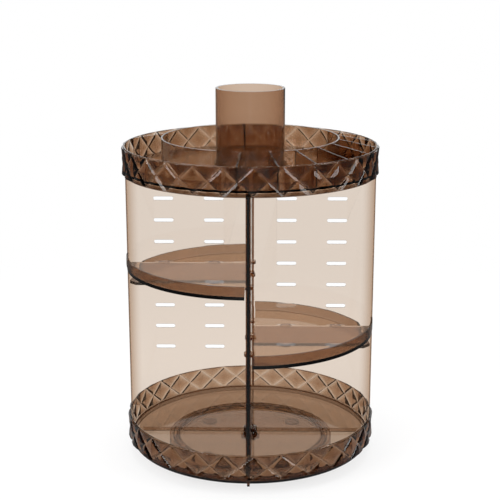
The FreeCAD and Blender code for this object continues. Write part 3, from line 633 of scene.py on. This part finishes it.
def corner_walls(name: str, half_x: float, half_y: float, wall: float, reach: float, low: float,
                 high: float) -> bpy.types.Mesh:
    """Return four L-shaped ribs, one a quadrant, that leave a cross-shaped slit between them.

    Each is a prism over the hexagon (a, b), (c, b), (c, b + w), (a + w, b + w), (a + w, c), (a, c), mirrored by the
    signs of its quadrant.

    Args:
        name: The mesh's name.
        half_x: Half width a of the slit that runs from front to rear.
        half_y: Half width b of the slit that runs across.
        wall: Thickness w of the ribs.
        reach: Distance c of their ends from the axis.
        low: Their foot's level.
        high: Their top's level.

    Returns:
        The mesh.
    """
    a, b, c, w = half_x, half_y, reach, wall
    outline = np.array([(a, b), (c, b), (c, b + w), (a + w, b + w), (a + w, c), (a, c)])
    points, faces = [], []
    for number, (x, y) in enumerate(((1, 1), (-1, 1), (-1, -1), (1, -1))):
        flat = (outline * (x, y))[::x * y]
        points += [np.column_stack((flat, np.full(6, level))) for level in (low, high)]
        start, turn = 12 * number, np.arange(6)
        after = (turn + 1) % 6
        faces += (start + np.column_stack((turn, after, after + 6, turn + 6))).tolist()
        faces += [(start + turn[::-1]).tolist(), (start + 6 + turn).tolist()]
    made = bpy.data.meshes.new(name)
    made.from_pydata((np.concatenate(points) * MM).tolist(), [], faces)
    return made


def block(name: str, low: tuple[float, float, float], high: tuple[float, float, float]) -> bpy.types.Mesh:
    """Return a box between two corners, each of its eight points taking x, y and z from one or the other."""
    ends = np.array([low, high])
    pick = np.array([(0, 0, 0), (1, 0, 0), (1, 1, 0), (0, 1, 0), (0, 0, 1), (1, 0, 1), (1, 1, 1), (0, 1, 1)])
    made = bpy.data.meshes.new(name)
    made.from_pydata((ends[pick, np.arange(3)] * MM).tolist(), [], [
        (0, 3, 2, 1), (4, 5, 6, 7), (0, 1, 5, 4), (1, 2, 6, 5), (2, 3, 7, 6), (3, 0, 4, 7)])
    return made


def worked(name: str, mesh: bpy.types.Mesh, steps: list[tuple[str, dict[str, Any]]]) -> bpy.types.Mesh:
    """Return a mesh after modifiers have been applied to it.

    Args:
        name: The new mesh's name.
        mesh: The mesh to work on.
        steps: Each modifier's type and settings; a mesh given as a setting stands in as an object.

    Returns:
        The new mesh.
    """
    made = [bpy.data.objects.new(name, mesh)]
    bpy.context.scene.collection.objects.link(made[0])
    for kind, settings in steps:
        modifier = made[0].modifiers.new(kind.lower(), kind)
        for key, setting in settings.items():
            if isinstance(setting, bpy.types.Mesh):
                made.append(bpy.data.objects.new(f"{name}_{key}_{len(made)}", setting))
                bpy.context.scene.collection.objects.link(made[-1])
                setting = made[-1]
            setattr(modifier, key, setting)
    bpy.context.view_layer.update()
    shaped = bpy.data.meshes.new_from_object(made[0].evaluated_get(bpy.context.evaluated_depsgraph_get()))
    for rough in [item.data for item in made]:
        bpy.data.meshes.remove(rough)
    shaped.name = name
    return shaped


# ---- round trays ----

@dataclass(frozen=True)
class RoundTray:
    """A round tray with a diamond rim, a floor, and ribs that hold the upright plates; sizes in millimetres."""

    name: str
    node: str
    finish: Finish
    ribs_low: float
    ribs_high: float
    band: DiamondBand
    lip_top: float
    lip_radius: float = 114.8
    inner_radius: float = 113.4
    slit: tuple[float, float] = (1.35, 0.65)
    rib_wall: float = 0.7
    rib_reach: float = 103.0
    rib_edge: float = 0.2
    coarse_within: float = 20.0
    edge: float = 0.45

    def under(self, skin: Skin) -> None:
        """Lay the underside and the foot of the rim, up to the diamonds."""
        raise NotImplementedError

    def inside(self, skin: Skin) -> None:
        """Lay the inner wall and the floor, from the lip to the axis."""
        raise NotImplementedError

    def cuts(self) -> list[bpy.types.Mesh]:
        """Return what is cut out of the tray."""
        return []

    def circle(self, skin: Skin, radius: float, level: float, soft: float = 0.5) -> None:
        """Lay one circle, coarser near the axis, whose points stand over the diamonds' corners."""
        skin.circle(radius, level, self.band.angles(fine=radius > self.coarse_within), soft)

    def build(self, materials: dict[Finish, bpy.types.Material]) -> bpy.types.Object:
        """Build the tray, let it stand for its node, and dress it.

        Args:
            materials: The made materials by finish.

        Returns:
            The tray.
        """
        skin = Skin()
        self.under(skin)
        self.band.lay(skin)
        self.circle(skin, self.lip_radius, self.band.top, self.band.edge_soft)
        self.circle(skin, self.lip_radius, self.lip_top, 1.0)
        self.circle(skin, self.inner_radius, self.lip_top, 1.0)
        self.inside(skin)
        walls = corner_walls("sharp_ribs", *self.slit, self.rib_wall, self.rib_reach, self.ribs_low, self.ribs_high)
        ribs = worked(f"{self.name}_ribs", walls, [("BEVEL", {"width": self.rib_edge * MM, "segments": 2})])
        steps = [("BEVEL", {"width": self.edge * MM, "segments": 3, "limit_method": "WEIGHT",
                            "use_clamp_overlap": False}),
                 ("BOOLEAN", {"operation": "UNION", "solver": "MANIFOLD", "object": ribs})]
        steps += [("BOOLEAN", {"operation": "DIFFERENCE", "solver": "MANIFOLD", "object": tool})
                  for tool in self.cuts()]
        mesh = worked(self.name, skin.mesh(self.name), steps)
        return add_piece(mesh, self.node, "carousel", self.finish, materials)


@dataclass(frozen=True)
class BottomTray(RoundTray):
    """The bottom tray: a plain foot ring, a screw boss with a blind hole, and windows for the divider's tabs."""

    underside: float = 9.0
    floor: float = 11.0
    ring_radius: float = 112.0
    ring_inner: float = 110.4
    step_level: float = 15.2
    boss_radius: float = 6.5
    boss_top: float = 16.0
    hole_radius: float = 3.05
    hole_top: float = 15.1
    window: tuple[float, float, float] = (1.35, 104.95, 110.25)

    def under(self, skin: Skin) -> None:
        """Lay the blind hole, the underside and the foot ring."""
        skin.pole(self.hole_top)
        for radius, level in ((self.hole_radius, self.hole_top), (self.hole_radius, self.underside),
                              (self.ring_radius, self.underside), (self.ring_radius, self.band.foot)):
            self.circle(skin, radius, level)

    def inside(self, skin: Skin) -> None:
        """Lay the inner wall with its step, the floor and the screw boss."""
        for radius, level in ((self.inner_radius, self.step_level), (self.ring_inner, self.step_level),
                              (self.ring_inner, self.floor), (self.boss_radius, self.floor),
                              (self.boss_radius, self.boss_top)):
            self.circle(skin, radius, level)
        skin.pole(self.boss_top)

    def cuts(self) -> list[bpy.types.Mesh]:
        """Return the two windows, front and rear."""
        half, near, far = self.window
        low, high = self.underside - CUT_SPARE, self.ribs_high + CUT_SPARE
        return [block("front_window", (-half, -far, low), (half, -near, high)),
                block("rear_window", (-half, near, low), (half, far, high))]


@dataclass(frozen=True)
class TopTray(RoundTray):
    """The top tray: a short skirt, a raised floor and the collar that the brush cup stands in."""

    skirt_radius: float = 114.0
    skirt_foot: float = 264.45
    floor_low: float = 268.5
    floor_high: float = 270.5
    collar: tuple[float, float, float] = (31.6, 33.0, 275.5)

    def under(self, skin: Skin) -> None:
        """Lay the floor's underside and the skirt."""
        skin.pole(self.floor_low)
        for radius, level in ((self.inner_radius, self.floor_low), (self.inner_radius, self.skirt_foot),
                              (self.skirt_radius, self.skirt_foot), (self.skirt_radius, self.band.foot)):
            self.circle(skin, radius, level)

    def inside(self, skin: Skin) -> None:
        """Lay the inner wall, the floor and the collar."""
        inner, outer, top = self.collar
        for radius, level in ((self.inner_radius, self.floor_high), (outer, self.floor_high), (outer, top),
                              (inner, top), (inner, self.floor_high)):
            self.circle(skin, radius, level)
        skin.pole(self.floor_high)


def add_piece(mesh: bpy.types.Mesh, node: str, body: str, finish: Finish,
              materials: dict[Finish, bpy.types.Material]) -> bpy.types.Object:
    """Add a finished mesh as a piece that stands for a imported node.

    Args:
        mesh: The piece's mesh, in place.
        node: The node that it stands for.
        body: The body that it rides on.
        finish: Its finish.
        materials: The made materials by finish.

    Returns:
        The piece.
    """
    piece = bpy.data.objects.new(mesh.name, mesh)
    bpy.context.scene.collection.objects.link(piece)
    mesh.materials.clear()
    mesh.materials.append(materials[finish])
    mesh.shade_smooth()
    mesh.set_sharp_from_angle(angle=SHARP_FROM)
    draw_back(piece)
    even_faces(piece)
    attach(piece, body)
    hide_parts(node)
    return piece


# ---- studio ----

@dataclass
class Studio:
    """A pale floor, a white surround, soft lights and the camera.

    Pairs of numbers say from where to where a share changes. The floor's fade is a distance from the axis in metres,
    its middle a distance along X, and the walls' are parts of the direction that a ray takes.
    """

    floor_size: float = 6.0
    floor_colour: tuple[float, float, float] = (0.93, 0.93, 0.93)
    floor_fade: tuple[float, float] = (0.1, 0.75)
    floor_near: float = 0.75
    surround: float = 1.0
    ambient: float = 0.85
    ceiling: float = 0.15
    front_share: float = 0.1
    floor_mirrored: float = 0.35
    floor_middle: tuple[float, float] = (0.08, 0.35)
    wall_top: tuple[float, float] = (0.42, 0.66)
    rear_wall: tuple[float, float] = (-0.35, 0.25)
    side_wall: tuple[float, float] = (0.2, 0.4)
    clear_bounces: int = 48
    glossy_bounces: int = 12
    open_bounces: int = 24
    lens: float = 86.508
    sensor: float = 36.0
    distance: float = 1.1138
    elevation: float = 14.87
    azimuth: float = 0.9
    target: float = 0.18514
    shift: tuple[float, float] = (-0.0006, 0.01254)
    lights: list[tuple[str, tuple[float, float, float], float, float, float]] = field(default_factory=lambda: [
        ("key_softbox", (-1.3, -1.0, 1.1), 0.9, 1.3, 16.0),
        ("fill_softbox", (1.5, -0.6, 0.8), 0.7, 1.2, 10.0),
        ("top_softbox", (0.0, 0.3, 2.0), 1.4, 1.4, 14.0),
    ])

    def build(self) -> None:
        """Set the floor, the surround, the lights and the camera."""
        self.build_floor()
        self.build_world()
        for light in self.lights:
            self.build_light(*light)
        self.build_camera()
        scene = bpy.context.scene
        scene.view_settings.view_transform = "Standard"
        scene.cycles.max_bounces = self.clear_bounces
        scene.cycles.transmission_bounces = self.clear_bounces
        scene.cycles.glossy_bounces = self.glossy_bounces
        scene.cycles.transparent_max_bounces = self.open_bounces

    def rays(self, tree: ShaderTree) -> tuple[Number, Number, Number]:
        """Return whether a ray comes from the camera, through clear plastic, or off a gloss but not through.

        Args:
            tree: The tree that asks.

        Returns:
            Three numbers that are 0 or 1.
        """
        ray = tree.node("ShaderNodeLightPath")
        sight, through, glossy = (Number(tree, ray.outputs[f"Is {kind} Ray"])
                                  for kind in ("Camera", "Transmission", "Glossy"))
        return sight, through, glossy * (1.0 - through)

    def build_floor(self) -> None:
        """Lay a square floor at height 0: pale and matt near the axis, where it keeps shadows, and white far out."""
        half = self.floor_size / 2
        corners = np.array([(-half, -half, 0), (half, -half, 0), (half, half, 0), (-half, half, 0)])
        mesh = bpy.data.meshes.new("floor")
        mesh.from_pydata(corners.tolist(), [], [(0, 1, 2, 3)])
        floor = bpy.data.objects.new("floor", mesh)
        bpy.context.scene.collection.objects.link(floor)
        tree = ShaderTree("floor_paint")
        paint = tree.node("ShaderNodeBsdfDiffuse", {}, {"Color": (*self.floor_colour, 1.0)})
        sight, through, mirrored = self.rays(tree)
        fade = tree.ramp(tree.reach(tree.place(), (1.0, 1.0, 1.0)), *self.floor_fade, self.floor_near)
        middle = tree.ramp(tree.reach(tree.place(), (1.0, 0.0, 0.0)), *self.floor_middle, self.floor_mirrored,
                           self.front_share)
        glow = tree.node("ShaderNodeEmission", {}, {
            "Color": WHITE, "Strength": sight + through + mirrored * middle})
        share = (sight + through) * fade + mirrored
        tree.surface(tree.node("ShaderNodeMixShader", {}, {0: share, 1: paint.outputs[0], 2: glow.outputs[0]}))
        mesh.materials.append(tree.material)

    def build_world(self) -> None:
        """Light from all round.

        Sight meets white everywhere, clear plastic sees white walls under a dim ceiling, and gloss mirrors the rear
        wall alone.
        """
        world = bpy.data.worlds.new("surround")
        bpy.context.scene.world = world
        world.use_nodes = True
        tree = ShaderTree(world)
        sight, through, mirrored = self.rays(tree)
        towards = tree.node("ShaderNodeTexCoord").outputs["Generated"]
        way = tree.node("ShaderNodeSeparateXYZ", {}, {0: towards})
        wall = tree.ramp(way.outputs["Z"], *self.wall_top, self.surround, self.ceiling)
        rear = tree.ramp(way.outputs["Y"], *self.rear_wall, self.front_share)
        middle = tree.ramp(tree.reach(towards, (1.0, 0.0, 0.0)), *self.side_wall, 1.0, self.front_share)
        seen = wall * (mirrored * rear * middle + through) + sight * self.surround
        rest = (1.0 - mirrored - through - sight) * self.ambient
        tree.surface(tree.node("ShaderNodeBackground", {}, {"Color": WHITE, "Strength": seen + rest}))

    def build_light(self, name: str, place: tuple[float, float, float], width: float, height: float,
                    power: float) -> None:
        """Hang one soft light that faces the organizer.

        Args:
            name: The light's name.
            place: Its centre, in metres.
            width: Its width, in metres.
            height: Its height, in metres.
            power: Its power, in watts.
        """
        data = bpy.data.lights.new(name, "AREA")
        data.shape = "RECTANGLE"
        data.size, data.size_y, data.energy = width, height, power
        light = bpy.data.objects.new(name, data)
        bpy.context.scene.collection.objects.link(light)
        light.location = place
        towards = Vector((0, 0, self.target)) - Vector(place)
        light.rotation_euler = towards.to_track_quat("-Z", "Y").to_euler()

    def build_camera(self) -> None:
        """Stand the camera in front, a little above, and level it at the middle of the column."""
        data = bpy.data.cameras.new("camera")
        data.lens, data.sensor_width = self.lens, self.sensor
        data.shift_x, data.shift_y = self.shift
        camera = bpy.data.objects.new("camera", data)
        bpy.context.scene.collection.objects.link(camera)
        tilt, turn = math.radians(self.elevation), math.radians(self.azimuth)
        back = Vector((math.sin(turn) * math.cos(tilt), -math.cos(turn) * math.cos(tilt), math.sin(tilt)))
        camera.location = Vector((0, 0, self.target)) + back * self.distance
        camera.rotation_mode = "QUATERNION"
        camera.rotation_quaternion = (-back).to_track_quat("-Z", "Y")
        bpy.context.scene.camera = camera


TRAYS = (
    BottomTray("diamond_bottom_tray", "bottom_tray", Finish.TRAY, 10.5, 14.35, DiamondBand(13.6, 35.45), 36.35),
    TopTray("diamond_top_tray", "top_tray", Finish.TOP, 265.15, 269.0, DiamondBand(265.6, 289.8), 290.7),
)
DRESSES = (
    Dress("base_plate", Finish.BASE, 0.3 * MM),
    *(Dress(f"rubber_foot_{number}", Finish.RUBBER, 0.3 * MM) for number in range(1, 5)),
    Dress("ball_cage", Finish.CAGE, 0.0),
    Dress("bearing_balls", Finish.BALLS, 0.0),
    Dress("upper_race", Finish.RACE, 0.0),
    Dress("pivot_screw", Finish.SCREW, 0.2 * MM),
    Dress("pivot_washer", Finish.CAGE, 0.0),
    Dress("slotted_panel", Finish.PANEL, 0.15 * MM),
    Dress("divider_plate", Finish.DIVIDER, 0.2 * MM),
    *(Dress(f"{place}_tray", Finish.SHELF) for place in ("front_left", "rear_left", "front_right", "rear_right")),
    Dress("organizer_insert", Finish.INSERT),
    Dress("brush_cup", Finish.CUP),
)


def main() -> None:
    """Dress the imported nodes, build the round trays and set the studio."""
    logging.basicConfig(level=logging.INFO)
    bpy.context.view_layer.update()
    materials = {finish: finish.value.material() for finish in Finish}
    for dress in DRESSES:
        dress.apply(materials)
        LOG.info("dressed %s", dress.node)
    for tray in TRAYS:
        tray.build(materials)
        LOG.info("built %s", tray.name)
    Studio().build()


if __name__ == "__main__":
    main()
